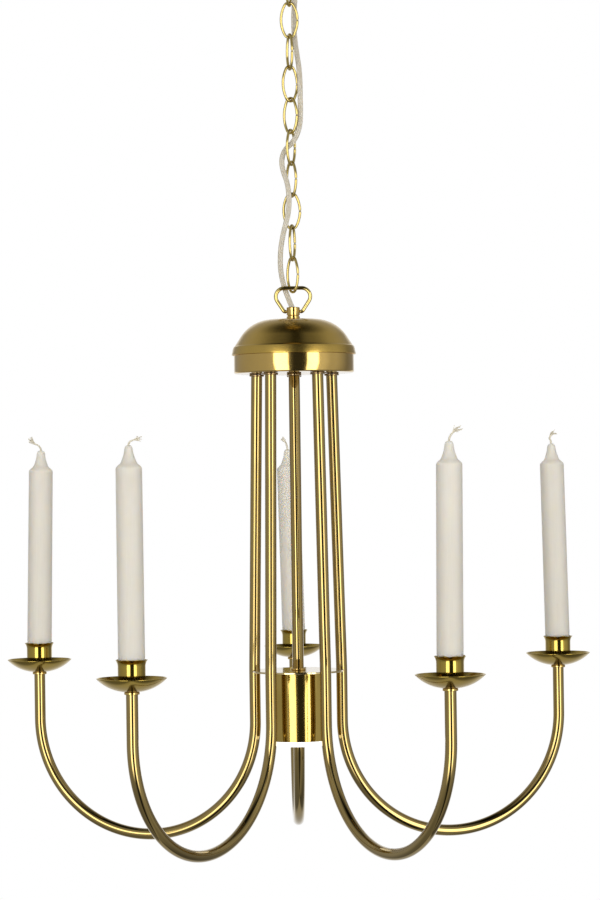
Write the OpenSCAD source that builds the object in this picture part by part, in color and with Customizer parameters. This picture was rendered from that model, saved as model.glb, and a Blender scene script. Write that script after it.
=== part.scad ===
// Five-arm brass candle chandelier with a downlight under its spacer disc.
// It hangs on a chain from a ceiling bar. Millimetres, +Z up.
// The origin is the centre of the ceiling bar's top face, against the ceiling.

/* [Ceiling fitting] */
// Length of the ceiling bar
bar_len = 84; // [76:1:92]
// Width of the ceiling bar
bar_w = 18; // [16:1:22]
// Thickness of the ceiling bar
bar_t = 2.5; // [2:0.5:4]
// Distance between the ceiling bar's two screw holes
bar_hole_gap = 60; // [50:1:66]
// Diameter of each screw hole
bar_hole_d = 4.5; // [3.5:0.5:5.5]
// Gap between the ceiling and the rim of the ceiling cup
ceiling_gap = 0.5; // [0.3:0.1:2]

/* [Chain] */
// Number of links
links = 11; // [9:1:13]
// Diameter of the link wire
link_wire = 2.4; // [1.9:0.1:2.5]
// Half length of a link, measured to the middle of its wire
link_a = 15.4; // [14:0.1:17]
// Half width of a link, measured to the middle of its wire
link_b = 7.2; // [6.6:0.1:7.6]
// Radius of a link's end, measured to the middle of its wire
link_end_r = 4.5; // [4:0.1:5]
// Play between two links that hang in each other
link_play = 0.3; // [0.1:0.05:0.4]
// Play between a bail's bar and the link on it
bar_play = 0.7; // [0.4:0.05:0.8]
// Turn of each link about the vertical, from the top link down
link_yaw = [-46, 74, 0, -72, 30, -39, 62, -56, 4, 72, -51, 48, -42];

/* [Bails and collars] */
// Diameter of the bail wire
bail_wire = 3.4; // [3:0.1:3.8]
// Radius of a bail's two upper corners
bail_corner = 7.5; // [6.5:0.1:8]
// Half length of the straight part of a bail's bar
bail_half = 7.7; // [7:0.1:8.5]
// Height of a bail's bar above its pins
bail_rise = 20.8; // [19:0.1:23]
// Angle of a bail's legs from the vertical
bail_leg_tilt = 33; // [31:1:35]
// Diameter of a collar
collar_d = 11.7; // [11.4:0.1:12.4]
// Height of a collar
collar_h = 10.8; // [10.4:0.1:12]

/* [Cap] */
// Diameter of the cap's band
band_d = 106; // [100:1:110]
// Height of the dome's top above the band's foot
dome_top = 47.5; // [46:0.5:52]
// Height of the dome's lip above the band's foot
lip_z = 16.4; // [14:0.2:17]
// Wall of the dome and of the drip pans
sheet_t = 0.8; // [0.6:0.1:1]
// Wall of the band
band_t = 1; // [0.8:0.1:1.2]

/* [Arms] */
// Number of arms
arms = 5; // [5:1:5]
// Outer diameter of the arm tubes and of the centre stem
tube_d = 10; // [9.6:0.1:10]
// Wall of the arm tubes
tube_t = 1; // [1:0.1:1.2]
// Distance of the arm tubes from the middle, below the spacer disc
tube_ring_r = 40.6; // [40:0.1:42]
// Outward lean of the tubes between the cap and the disc
tube_lean = 1.25; // [1:0.05:1.4]
// Radius of the half-circle bend
arm_bend_r = 102.5; // [95:0.5:108]
// Height of the start of the bend below the band's foot
arm_bend_drop = 307.5; // [300:0.5:315]
// Turn of each arm about its own tube, from perfectly radial
arm_turn = [-2, 1, 1, 3, -7];

/* [Spacer disc and stem] */
// Diameter of the spacer disc
disc_d = 80; // [79:0.5:82]
// Thickness of the spacer disc
disc_t = 1.6; // [1.2:0.2:2]
// Height of the disc's top below the band's foot
disc_drop = 262; // [255:1:270]

/* [Downlight] */
// Outer diameter of the housing
housing_d = 55; // [50:0.5:58]
// Height of the housing
housing_h = 60; // [58:0.5:64]
// Height of the diffuser that shows below the housing
diffuser_show = 4.6; // [3:0.2:7]

/* [Drip pans and candle cups] */
// Height of the pan rims below the band's foot
pan_rim_drop = 254; // [250:0.5:258]
// Radius of a drip pan
pan_r = 29; // [27:0.5:30]
// Radius of the pan's curved section
pan_curve_r = 36; // [35:0.5:38]
// Outer radius of a candle cup
cup_r = 11.35; // [11.3:0.05:11.5]
// Height of a candle cup
cup_h = 24.7; // [23:0.1:26]
// Wall of a candle cup
cup_t = 0.6; // [0.5:0.05:0.6]
// Outward spread of the cup's rim
cup_flare = 1.8; // [1.4:0.1:2]

/* [Candles] */
// Diameter of a candle just above its cup
candle_d = 22; // [21.8:0.1:22.2]
// Length of a candle without its wick
candle_len = 196; // [180:1:210]
// Length of wick that stands out of the wax
wick_show = 9; // [5:1:14]
// Sideways lean of each candle in its cup, positive towards +X
candle_lean = [-1.1, -1.2, 1.2, 0, 0.5];

/* [Hidden] */
$fn = 64;
eps = 0.05;
bead = 0.03;

// Heights in the whole object
bail_reach = dome_bail(bail_rise);
collar_low = -dome_height() - ceiling_gap;
bar_1_z = collar_low - bail_reach;
hook_gap = bail_wire / 2 + link_wire / 2 + bar_play;
link_pitch = 2 * link_a - link_wire - link_play;
link_1_z = bar_1_z + hook_gap - link_a;
bar_2_z = link_1_z - (links - 1) * link_pitch - link_a + hook_gap;
cap_z = bar_2_z - bail_reach - dome_top;

// Sizes that several parts share
pin_h = collar_h - 3.8;
pin_r = 1.1;
nipple_r = 3.95;
nipple_bore_r = 2.75;
stem_r = tube_d / 2;
stem_bore_r = 3.6;
ring_r = 6.5;
ring_t = 2;
floor_t = 1.2;
band_r = band_d / 2;
band_h = 20.8;
disc_z = -disc_drop;
housing_z = disc_z - disc_t;
housing_r = housing_d / 2;
pan_depth = pan_curve_r - sqrt(pow(pan_curve_r, 2) - pow(pan_r - 3, 2));
pan_z = -pan_rim_drop - pan_depth;
cup_lift = 1.45;
cup_z = pan_z + cup_lift;
screw_head_h = 2.4;
candle_z = cup_z + cup_t + screw_head_h + 0.5;
tube_end_z = pan_z - ring_t;
arm_end_r = 2 * arm_bend_r;

// Route of the supply cord, from the ceiling nipple down the chain into the cap
cord_w = 4.6;
cord_t = 3;
cord_sides = 10;
CORD = [
    [0, 0, -20], [0, 0, -32], [0.6, 0.8, -42.5], [2.2, 3, -51], [3.6, 4.6, -60], [4.4, 5.4, -70],
    [4.8, 5.6, -79], [5.2, 5.2, -88], [5.8, 4.8, -97], [5.5, 4.5, -107], [4.3, 4.8, -119],
    [4, 5, -131], [4.8, 4.8, -144], [6.4, 4, -157], [8.1, 2.1, -170], [8.8, 0, -184],
    [8.8, -1, -197], [8.8, -1.4, -209], [8.1, -1.2, -219.5], [5.1, -0.6, -229.5], [0.6, 0, -236.2],
    [-4.4, -0.2, -241], [-7.6, -0.6, -247.6], [-8.2, -1.2, -254.8], [-6.6, -2.2, -262.5],
    [-4, -4, -271], [-2.6, -5, -280],
    [-2.4, -5.2, -290], [-3.4, -5, -299], [-5.4, -4.6, -307], [-8, -3.4, -317],
    [-10, -1.6, -328], [-10.8, 0.6, -339], [-10.4, 3, -349], [-8.8, 4.6, -358],
    [-6.6, 4.8, -366], [-3.4, 3, -375], [-0.4, 0.4, -383.5], [0, 0, -393], [0, 0, -406],
    [0, 0, -420]
];

function pad2(n) = n < 10 ? str("0", n) : str(n);

// ---- Outlines and shapes that several parts use ----

// Height of the dome-shaped sheet, lip to top
function dome_height() = dome_top - lip_z;

// Distance from a collar's foot to the middle of its bail's bar
function dome_bail(rise) = collar_h - 3.8 + rise;

// Points of an arc about (cx, cy)
function arc(cx, cy, r, a0, a1, n) =
    [for (i = [0:n]) let (a = a0 + (a1 - a0) * i / n) [cx + r * cos(a), cy + r * sin(a)]];

function unit(v) = v / norm(v);

// Direction to the right of the way from a to b
function right_of(a, b) = let (d = unit(b - a)) [d[1], -d[0]];

// A line of points moved to its right by t
function moved(p, t) = let (last = len(p) - 1) [
    for (i = [0:last])
        let (
            n0 = right_of(p[max(i - 1, 0)], p[max(i, 1)]),
            n1 = right_of(p[min(i, last - 1)], p[min(i + 1, last)]),
            n = unit(n0 + n1)
        )
        p[i] + n * t / (n * n0)
];

function reversed(p) = [for (i = [len(p) - 1:-1:0]) p[i]];

// A spun sheet of thickness t whose outer face follows the points
module spun_sheet(p, t) {
    rotate_extrude(convexity = 6) polygon(concat(p, reversed(moved(p, t))));
}

// Round rod bent about the Z axis, from angle a0 to a1
module bent_rod(bend_r, r, a0, a1) {
    rotate([0, 0, a0])
        rotate_extrude(angle = a1 - a0) translate([bend_r, 0]) circle(r, $fn = 32);
}

// Straight round rod in the XY-plane from a to b
module rod(a, b, r) {
    d = b - a;
    translate([a[0], a[1], 0]) rotate([0, 90, atan2(d[1], d[0])]) cylinder(r = r, h = norm(d), $fn = 32);
}

// Short sleeve, running at angle a, that joins two rods of radius r where they meet end to end
module sleeve_at(x, y, a, r) {
    translate([x, y, 0]) rotate([0, 90, a]) cylinder(r = r + bead, h = 0.3, center = true, $fn = 32);
}

// A shape drawn in the XY-plane, stood up in the XZ-plane
module upright() {
    rotate([90, 0, 0]) children();
}

// Hexagon nut with its foot at Z = 0
module nut(across, h, bore_r) {
    difference() {
        cylinder(d = across / cos(30), h = h, $fn = 6);
        translate([0, 0, -eps]) cylinder(r = bore_r, h = h + 2 * eps);
    }
}

// Round washer or ring with its foot at Z = 0
module ring(r, h, bore_r) {
    difference() {
        cylinder(r = r, h = h);
        translate([0, 0, -eps]) cylinder(r = bore_r, h = h + 2 * eps);
    }
}

// ---- Places ----

module from_cap() {
    translate([0, 0, cap_z]) children();
}

function arm_angle(k) = 18 + 72 * (k - 1);

// Frame of arm k's lower tube: X radial, origin on the band's foot level
module at_tube(k) {
    rotate([0, 0, arm_angle(k)]) translate([tube_ring_r, 0, 0]) children();
}

// Frame of arm k's upper, leaning tube, with its origin where it meets the band's foot level
lean_top = [-disc_drop * tan(tube_lean), 0, 0];

module at_tube_top(k) {
    at_tube(k) translate(lean_top) rotate([0, -tube_lean, 0]) children();
}

// Frame of arm k's far end, under its drip pan
module at_arm_end(k) {
    at_tube(k) rotate([0, 0, arm_turn[k - 1]]) translate([arm_end_r, 0, 0])
        rotate([0, 0, -arm_angle(k) - arm_turn[k - 1]]) children();
}

// ---- Sheet parts of the cap and the ceiling cup ----

dome_shoulder_r = 32.4;
dome_shoulder_x = 19.5;
dome_outline = concat(
    [[4.2, dome_top]],
    arc(dome_shoulder_x, dome_top - dome_shoulder_r, dome_shoulder_r, 90, 33.5, 14),
    [[52, dome_top - 23], [53.2, dome_top - 24.1], [53.9, dome_top - 26]],
    [[54.4, lip_z + 2.4], [54.9, lip_z + 0.4], [54.9, lip_z]]
);

module dome_sheet() {
    spun_sheet(dome_outline, sheet_t);
}

band_outline = concat(
    [[band_r, band_h]],
    arc(band_r - 1.5, 1.5, 1.5, 0, -90, 5),
    [[4.2, 0]]
);

module cap_dome() {
    color("darkgoldenrod") from_cap() dome_sheet();
}

module ceiling_cup() {
    color("darkgoldenrod")
        translate([0, 0, collar_low + dome_top]) mirror([0, 0, 1]) dome_sheet();
}

module cap_band() {
    color("darkgoldenrod") from_cap() difference() {
        spun_sheet(band_outline, band_t);
        for (k = [1:arms])
            rotate([0, 0, arm_angle(k)]) translate([tube_ring_r + lean_top[0], 0, -1])
                cylinder(r = 4.4, h = 4);
    }
}

// ---- Ceiling fitting ----

module ceiling_bar() {
    color("silver") difference() {
        translate([-bar_len / 2, -bar_w / 2, -bar_t]) cube([bar_len, bar_w, bar_t]);
        translate([0, 0, -bar_t - 1]) cylinder(r = nipple_r + 0.05, h = bar_t + 2);
        for (x = [-1, 1])
            translate([x * bar_hole_gap / 2, 0, -bar_t - 1]) cylinder(d = bar_hole_d, h = bar_t + 2);
    }
}

module ceiling_nipple() {
    color("gold") translate([0, 0, collar_low - 3]) difference() {
        cylinder(r = nipple_r, h = -collar_low + 3 - 0.5);
        translate([0, 0, -1]) cylinder(r = nipple_bore_r, h = 60);
    }
}

module terminal_block() {
    block = [26, 16, 11];
    color("ivory") translate([12, -block[1] / 2, -bar_t - block[2]]) difference() {
        cube(block);
        for (i = [0:2])
            translate([5 + 8 * i, -1, 4.5]) rotate([-90, 0, 0]) cylinder(r = 1.6, h = block[1] + 2);
    }
}

// Collar with its foot at Z = 0: a waist, a cord bore, a nipple socket and two blind pin holes
collar_r = collar_d / 2;
collar_outline = [
    [4, 0], [collar_r + 0.4, 0], [collar_r + 0.4, 0.9], [collar_r, 1.2], [collar_r, 2.6],
    [collar_r - 0.8, 2.9], [collar_r - 0.8, 3.5], [collar_r, 3.8], [collar_r, collar_h - 0.5],
    [collar_r - 0.5, collar_h], [collar_r - 1.3, collar_h], [nipple_bore_r, collar_h - 3],
    [nipple_bore_r, 3.2], [4, 3.2]
];

module collar() {
    difference() {
        rotate_extrude() polygon(collar_outline);
        for (a = [0, 180])
            rotate([0, 0, a]) translate([3.7, 0, pin_h]) rotate([0, 90, 0]) cylinder(r = pin_r + 0.06, h = 5);
    }
}

// Bail with its pins at Z = 0: a straight bar, two round corners, two legs and two pins
leg_dir = [sin(bail_leg_tilt), cos(bail_leg_tilt)];
bail_foot_r = 2.6;
bail_foot_x = 7.6;

// Where the leg leaves the corner, where it meets the foot bend, and the foot bend's centre
corner_end = [bail_half + bail_corner * cos(bail_leg_tilt),
              bail_rise - bail_corner - bail_corner * sin(bail_leg_tilt)];
leg_len = (corner_end[1] - bail_foot_r * (1 - sin(bail_leg_tilt))) / cos(bail_leg_tilt);
leg_end = corner_end - leg_dir * leg_len;
foot_centre = [leg_end[0] - bail_foot_r * cos(bail_leg_tilt), bail_foot_r];

module bail() {
    r = bail_wire / 2;
    upright() {
        for (m = [-1, 1]) {
            sleeve_at(m * bail_half, bail_rise, 0, r);
            sleeve_at(m * corner_end[0], corner_end[1], 90 - m * bail_leg_tilt, r);
            sleeve_at(m * leg_end[0], leg_end[1], 90 - m * bail_leg_tilt, r);
        }
        rod([-bail_half, bail_rise], [bail_half, bail_rise], r);
        for (m = [0, 1]) mirror([m, 0, 0]) {
            translate([bail_half, bail_rise - bail_corner])
                bent_rod(bail_corner, r, -bail_leg_tilt, 90);
            rod(corner_end, leg_end, r);
            translate(foot_centre) bent_rod(bail_foot_r, r, -90, -bail_leg_tilt);
        }
    }
    for (a = [0, 180])
        rotate([0, 0, a]) translate([3.9, 0, 0]) rotate([0, 90, 0])
            cylinder(r = pin_r, h = foot_centre[0] - 3.5);
}

module ceiling_collar() {
    color("gold") translate([0, 0, collar_low]) mirror([0, 0, 1]) collar();
}

module ceiling_bail() {
    color("gold") translate([0, 0, collar_low - pin_h]) mirror([0, 0, 1]) bail();
}

module cap_collar() {
    color("gold") from_cap() translate([0, 0, dome_top]) collar();
}

module cap_bail() {
    color("gold") from_cap() translate([0, 0, dome_top + pin_h]) bail();
}

// ---- Chain ----

// Oval link in the XY-plane, long way along Y, made of four arcs
side_r = (pow(link_a - link_end_r, 2) + pow(link_b, 2) - pow(link_end_r, 2)) / (2 * (link_b - link_end_r));
side_angle = atan2(link_a - link_end_r, side_r - link_b);

module link_side() {
    translate([link_b - side_r, 0]) bent_rod(side_r, link_wire / 2, -side_angle, side_angle);
}

module link_end() {
    translate([0, link_a - link_end_r])
        bent_rod(link_end_r, link_wire / 2, side_angle, 180 - side_angle);
}

// The wire's two ends meet in a narrow joint in the middle of one side
module open_side() {
    translate([link_b - side_r, 0]) {
        bent_rod(side_r, link_wire / 2, -side_angle, -0.25);
        bent_rod(side_r, link_wire / 2, 0.25, side_angle);
    }
}

module oval_link() {
    x = link_end_r * cos(side_angle);
    y = link_a - link_end_r + link_end_r * sin(side_angle);
    for (i = [-1, 1], j = [-1, 1])
        sleeve_at(i * x, j * y, 90 + i * j * side_angle, link_wire / 2);
    open_side();
    link_end();
    rotate([0, 0, 180]) link_side();
    rotate([0, 0, 180]) link_end();
}

module chain_link(i) {
    color("gold") translate([0, 0, link_1_z - (i - 1) * link_pitch])
        rotate([0, 0, link_yaw[i - 1]]) upright() oval_link();
}

// ---- Supply cord: a flat twin lead, one ring of points at each point of its route ----

function cord_way(i) = unit(CORD[min(i + 1, len(CORD) - 1)] - CORD[max(i - 1, 0)]);

function cord_ring(i) =
    let (t = cord_way(i), w = unit(cross([0, 1, 0], t)), n = cross(t, w))
    [for (s = [0:cord_sides - 1])
        let (a = 360 * s / cord_sides)
        CORD[i] + w * cord_w / 2 * cos(a) + n * cord_t / 2 * sin(a)];

module supply_cord() {
    rings = len(CORD);
    m = cord_sides;
    points = [for (i = [0:rings - 1]) each cord_ring(i)];
    sides = [for (i = [0:rings - 2]) for (s = [0:m - 1])
        [i * m + s, (i + 1) * m + s, (i + 1) * m + (s + 1) % m, i * m + (s + 1) % m]];
    ends = [[for (s = [0:m - 1]) s], [for (s = [m - 1:-1:0]) (rings - 1) * m + s]];
    color("lightgray") polyhedron(points, concat(sides, ends), convexity = 8);
}

// ---- Middle of the cap, stem and disc ----

module cap_nipple() {
    color("gold") from_cap() translate([0, 0, -10]) difference() {
        cylinder(r = nipple_r, h = 10 + dome_top + 3);
        translate([0, 0, -1]) cylinder(r = nipple_bore_r, h = 90);
    }
}

module centre_stem() {
    stem_low = housing_z - 10;
    color("gold") from_cap() difference() {
        translate([0, 0, stem_low]) cylinder(r = stem_r, h = -ring_t - stem_low);
        translate([0, 0, stem_low - 1]) cylinder(r = stem_bore_r, h = -stem_low);
        translate([0, 0, -11]) cylinder(r = nipple_r + 0.05, h = 12);
    }
}

// Nut inside the cap and nut inside the housing
module stem_nuts() {
    color("silver") from_cap() {
        translate([0, 0, floor_t]) nut(14, 4, nipple_r + 0.05);
        translate([0, 0, housing_z - floor_t - 4]) nut(15, 4, stem_r + 0.05);
    }
}

module stem_foot_ring() {
    color("gold") from_cap() translate([0, 0, disc_z]) ring(ring_r, 1.8, stem_r + 0.1);
}

module spacer_disc() {
    color("goldenrod") from_cap() translate([0, 0, disc_z - disc_t]) difference() {
        cylinder(d = disc_d, h = disc_t);
        translate([0, 0, -1]) cylinder(r = stem_r + 0.1, h = disc_t + 2);
        for (k = [1:arms])
            rotate([0, 0, arm_angle(k)]) translate([tube_ring_r, 0, -1])
                cylinder(r = stem_r + 0.15, h = disc_t + 2);
    }
}

// Two-core lead from the cap down the stem to the lampholder
module inner_lead() {
    top = -421 - cap_z;
    low = housing_z - 12;
    color("white") from_cap() translate([0, 0, low]) cylinder(r = 2, h = top - low);
}

// ---- Downlight ----

module downlight_housing() {
    outline = concat(
        [[stem_r + 0.1, housing_z]],
        arc(housing_r - 1, housing_z - 1, 1, 90, 0, 4),
        [[housing_r, housing_z - housing_h]]
    );
    color("darkgoldenrod") from_cap() spun_sheet(outline, band_t);
}

// Ceramic holder that screws onto the stem's threaded end
holder_z = housing_z - 6;

module lampholder() {
    color("ivory") from_cap() translate([0, 0, holder_z - 18]) difference() {
        union() {
            cylinder(r = 9, h = 17.8);
            cylinder(r = 11.5, h = 3);
        }
        translate([0, 0, 12]) cylinder(r = stem_r + 0.05, h = 7);
        translate([0, 0, 11]) cylinder(r = 2.4, h = 3);
        for (x = [-1, 1]) translate([x * 3.2, 0, -1]) cylinder(r = 0.75, h = 8);
    }
}

module lamp() {
    top = holder_z - 18.2;
    color("whitesmoke") from_cap() {
        translate([0, 0, top - 6]) cylinder(r = 7.4, h = 6);
        translate([0, 0, top - 22]) cylinder(r = 6.6, h = 16);
        translate([0, 0, top - 22]) sphere(r = 6.6);
        for (x = [-1, 1]) translate([x * 3.2, 0, top - 0.5]) cylinder(r = 0.6, h = 6);
    }
}

module diffuser() {
    r = housing_r - band_t - 0.3;
    low = housing_z - housing_h - diffuser_show;
    outline = concat(
        [[r + 0, low + 28]],
        arc(r - 4, low + 4, 4, 0, -90, 8),
        [[0, low]]
    );
    color("white") from_cap() spun_sheet(outline, 1.6);
}

// ---- Arms ----

module arm_path(k, r) {
    at_tube(k) {
        translate([0, 0, disc_z]) sphere(r = r + bead);
        translate([0, 0, -arm_bend_drop]) sphere(r = r + bead);
        translate([0, 0, disc_z]) rotate([0, -tube_lean, 0])
            cylinder(r = r, h = disc_drop / cos(tube_lean) - ring_t - 0.12, $fn = 32);
        translate([0, 0, -arm_bend_drop]) cylinder(r = r, h = arm_bend_drop - disc_drop, $fn = 32);
        rotate([0, 0, arm_turn[k - 1]]) {
            translate([arm_end_r, 0, -arm_bend_drop]) sphere(r = r + bead);
            translate([arm_bend_r, 0, -arm_bend_drop])
                upright() bent_rod(arm_bend_r, r, 180, 360);
            translate([arm_end_r, 0, -arm_bend_drop])
                cylinder(r = r, h = arm_bend_drop + tube_end_z, $fn = 32);
        }
    }
}

module arm(k) {
    color("goldenrod") from_cap() difference() {
        arm_path(k, tube_d / 2);
        arm_path(k, tube_d / 2 - tube_t);
    }
}

// Six rings under the cap: one on each tube and one on the stem
module tube_rings() {
    color("saddlebrown") from_cap() {
        translate([0, 0, -ring_t]) ring(ring_r, ring_t, nipple_r + 0.1);
        for (k = [1:arms]) intersection() {
            at_tube_top(k) translate([0, 0, -ring_t]) ring(ring_r, ring_t + 0.5, 4.1);
            translate([0, 0, -10]) cylinder(r = 60, h = 10);
        }
    }
}

// Threaded studs that hold the tubes to the band's floor
module arm_studs() {
    color("silver") from_cap() for (k = [1:arms])
        at_tube_top(k) translate([0, 0, -10]) cylinder(r = tube_d / 2 - tube_t - 0.1, h = 18);
}

module arm_nuts() {
    color("silver") from_cap() for (k = [1:arms]) intersection() {
        at_tube_top(k) translate([0, 0, floor_t - 0.5]) nut(13, 4.5, tube_d / 2 - tube_t);
        translate([0, 0, floor_t]) cylinder(r = 50, h = 10);
    }
}

// Threaded plugs in the arms' far ends
module arm_plugs() {
    color("gold") from_cap() for (k = [1:arms])
        at_arm_end(k) translate([0, 0, tube_end_z - 12]) ring(tube_d / 2 - tube_t - 0.05, 12, 2.05);
}

module pan_rings() {
    color("gold") from_cap() for (k = [1:arms])
        at_arm_end(k) translate([0, 0, tube_end_z]) ring(ring_r, ring_t, 2.5);
}

// Screws that clamp cup, pan and ring to the arm's end
module cup_screws() {
    color("silver") from_cap() for (k = [1:arms]) at_arm_end(k) {
        translate([0, 0, cup_z + cup_t]) difference() {
            cylinder(r = 3.6, h = screw_head_h);
            translate([-4, -0.5, screw_head_h - 1]) cube([8, 1, 2]);
        }
        translate([0, 0, tube_end_z - 9]) cylinder(r = 2, h = cup_z + cup_t - tube_end_z + 9);
    }
}

// ---- Drip pans, cups and candles ----

pan_outline = concat(
    reversed(arc(3, pan_curve_r, pan_curve_r, -90, -90 + asin((pan_r - 3) / pan_curve_r), 14)),
    [[2.5, 0]]
);

module drip_pan(k) {
    color("darkgoldenrod") from_cap() at_arm_end(k) translate([0, 0, pan_z])
        spun_sheet(pan_outline, sheet_t);
}

flare_angle = 37;
flare_r = cup_flare / (1 - cos(flare_angle));
cup_outline = concat(
    reversed(arc(cup_r + flare_r, cup_h - flare_r * sin(flare_angle), flare_r, 180, 180 - flare_angle, 6)),
    arc(cup_r - 2, 2, 2, 0, -90, 5),
    [[2.5, 0]]
);

module candle_cup(k) {
    color("goldenrod") from_cap() at_arm_end(k) translate([0, 0, cup_z])
        spun_sheet(cup_outline, cup_t);
}

candle_r = candle_d / 2;
wick_r = 0.85;
candle_outline = [
    [wick_r + 0.05, 0], [9.6, 0], [10, 0.6], [10.3, 18], [candle_r, 23],
    [candle_r - 0.25, candle_len - 18.7], [6.7, candle_len - 15], [4, candle_len - 7.6],
    [3.6, candle_len - 4], [3.1, candle_len - 1.6], [2, candle_len - 0.4], [wick_r + 0.05, candle_len]
];

module candle(k) {
    pivot = 9;
    from_cap() at_arm_end(k) translate([0, 0, candle_z + pivot])
        rotate([0, candle_lean[k - 1], 0]) translate([0, 0, -pivot]) {
            color("linen") rotate_extrude() polygon(candle_outline);
            color("cornsilk") translate([0, 0, 0.5]) cylinder(r = wick_r, h = candle_len + wick_show - 0.5, $fn = 24);
        }
}

// ---- What is drawn ----

ceiling_bar();
ceiling_cup();
ceiling_nipple();
ceiling_collar();
terminal_block();
ceiling_bail();
for (i = [1:links]) chain_link(i);
supply_cord();
cap_bail();
cap_collar();
cap_nipple();
cap_dome();
cap_band();
stem_nuts();
centre_stem();
tube_rings();
stem_foot_ring();
spacer_disc();
inner_lead();
downlight_housing();
lampholder();
lamp();
diffuser();
for (k = [1:arms]) arm(k);
arm_studs();
arm_nuts();
arm_plugs();
pan_rings();
cup_screws();
for (k = [1:arms]) drip_pan(k);
for (k = [1:arms]) candle_cup(k);
for (k = [1:arms]) candle(k);
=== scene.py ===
import math
import random

import bmesh
import bpy
import numpy as np
from mathutils import Matrix, Vector


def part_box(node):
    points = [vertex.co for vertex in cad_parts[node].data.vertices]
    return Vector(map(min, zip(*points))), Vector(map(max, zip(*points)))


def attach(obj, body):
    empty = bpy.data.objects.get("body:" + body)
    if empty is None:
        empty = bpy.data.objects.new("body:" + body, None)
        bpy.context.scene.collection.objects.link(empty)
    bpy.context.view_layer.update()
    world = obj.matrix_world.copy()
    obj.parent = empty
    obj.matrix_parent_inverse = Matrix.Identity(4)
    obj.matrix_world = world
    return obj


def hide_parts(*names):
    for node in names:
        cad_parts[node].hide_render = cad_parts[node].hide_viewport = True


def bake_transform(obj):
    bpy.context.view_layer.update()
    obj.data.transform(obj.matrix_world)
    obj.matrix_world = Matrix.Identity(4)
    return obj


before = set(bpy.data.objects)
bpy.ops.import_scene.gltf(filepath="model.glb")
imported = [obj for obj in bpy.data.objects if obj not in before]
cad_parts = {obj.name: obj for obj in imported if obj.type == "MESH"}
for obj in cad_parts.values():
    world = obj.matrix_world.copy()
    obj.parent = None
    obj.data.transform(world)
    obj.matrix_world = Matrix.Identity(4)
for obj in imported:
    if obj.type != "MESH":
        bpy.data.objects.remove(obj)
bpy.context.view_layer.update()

# Multi arm chandelier: five brass arms and candles on a chain, with a downlight under a spacer disc.
# Sections and outlines are in mm and are placed in the CAD frame, in metres.
MM = 0.001
TAU = 2 * math.pi
LINKS = 11
ARMS = 5


# ---------------------------------------------------------------- places in the CAD frame
def mid(node):
    lo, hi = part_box(node)
    return (Vector(lo) + Vector(hi)) / 2


def low(node):
    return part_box(node)[0][2]


def high(node):
    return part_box(node)[1][2]


# each bail's bar and pins
BAIL_WIRE_R, BAIL_RISE = 1.7, 20.8
CAP_Z = low("cap_band")
BAR_1_Z = low("ceiling_bail") + BAIL_WIRE_R * MM
BAR_2_Z = high("cap_bail") - BAIL_WIRE_R * MM
PIN_1_Z = BAR_1_Z + BAIL_RISE * MM
PIN_2_Z = BAR_2_Z - BAIL_RISE * MM
# each link's turn about the vertical, half length, half width, end radius and wire
LINK_YAW = [-46, 74, 0, -72, 30, -39, 62, -56, 4, 72, -51]
LINK_Z = [mid(f"chain_link_{i + 1:02d}").z for i in range(LINKS)]
LINK_A, LINK_B, LINK_END, LINK_WIRE = 15.4, 7.2, 4.5, 2.4


def from_cap(z):
    """A height in metres as millimetres above the band's foot."""
    return (z - CAP_Z) / MM


# ---------------------------------------------------------------- camera
CAMERA_AWAY = 2.6
CAMERA_BELOW_CAP = 0.096
CAMERA_ROLL = -0.0139

scene = bpy.context.scene
cam_data = bpy.data.cameras.new("camera")
cam = bpy.data.objects.new("camera", cam_data)
scene.collection.objects.link(cam)
cam.matrix_world = (
    Matrix.Translation((0, -CAMERA_AWAY, CAP_Z - CAMERA_BELOW_CAP))
    @ Matrix.Rotation(math.radians(90), 4, "X")
    @ Matrix.Rotation(CAMERA_ROLL, 4, "Z")
)
cam_data.sensor_width = 36
cam_data.lens = 117.76
cam_data.shift_x = 0.0048889
cam_data.shift_y = 0.0355556
cam_data.clip_start = 0.05
cam_data.clip_end = 60
scene.camera = cam
scene.view_settings.view_transform = "Standard"


# ---------------------------------------------------------------- mesh helpers
def unit(v):
    return v / max(np.linalg.norm(v), 1e-12)


def run_length(p):
    """Length along a line up to each of its points."""
    return np.concatenate([[0], np.cumsum(np.linalg.norm(np.diff(p, axis=0), axis=1))])


def smooth_path(points, step):
    """Catmull-Rom line through the points, resampled at even steps."""
    p = np.array(points, float)
    p = np.vstack([2 * p[0] - p[1], p, 2 * p[-1] - p[-2]])
    out = []
    for i in range(1, len(p) - 2):
        for t in np.linspace(0, 1, 12, endpoint=False):
            a, b, c, d = p[i - 1], p[i], p[i + 1], p[i + 2]
            out.append(0.5 * (2 * b + (c - a) * t + (2 * a - 5 * b + 4 * c - d) * t * t
                              + (3 * b - a - 3 * c + d) * t ** 3))
    out.append(p[-2])
    out = np.array(out)
    s = run_length(out)
    n = max(2, int(round(s[-1] / step)) + 1)
    w = np.linspace(0, s[-1], n)
    return np.stack([np.interp(w, s, out[:, k]) for k in range(3)], 1)


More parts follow.
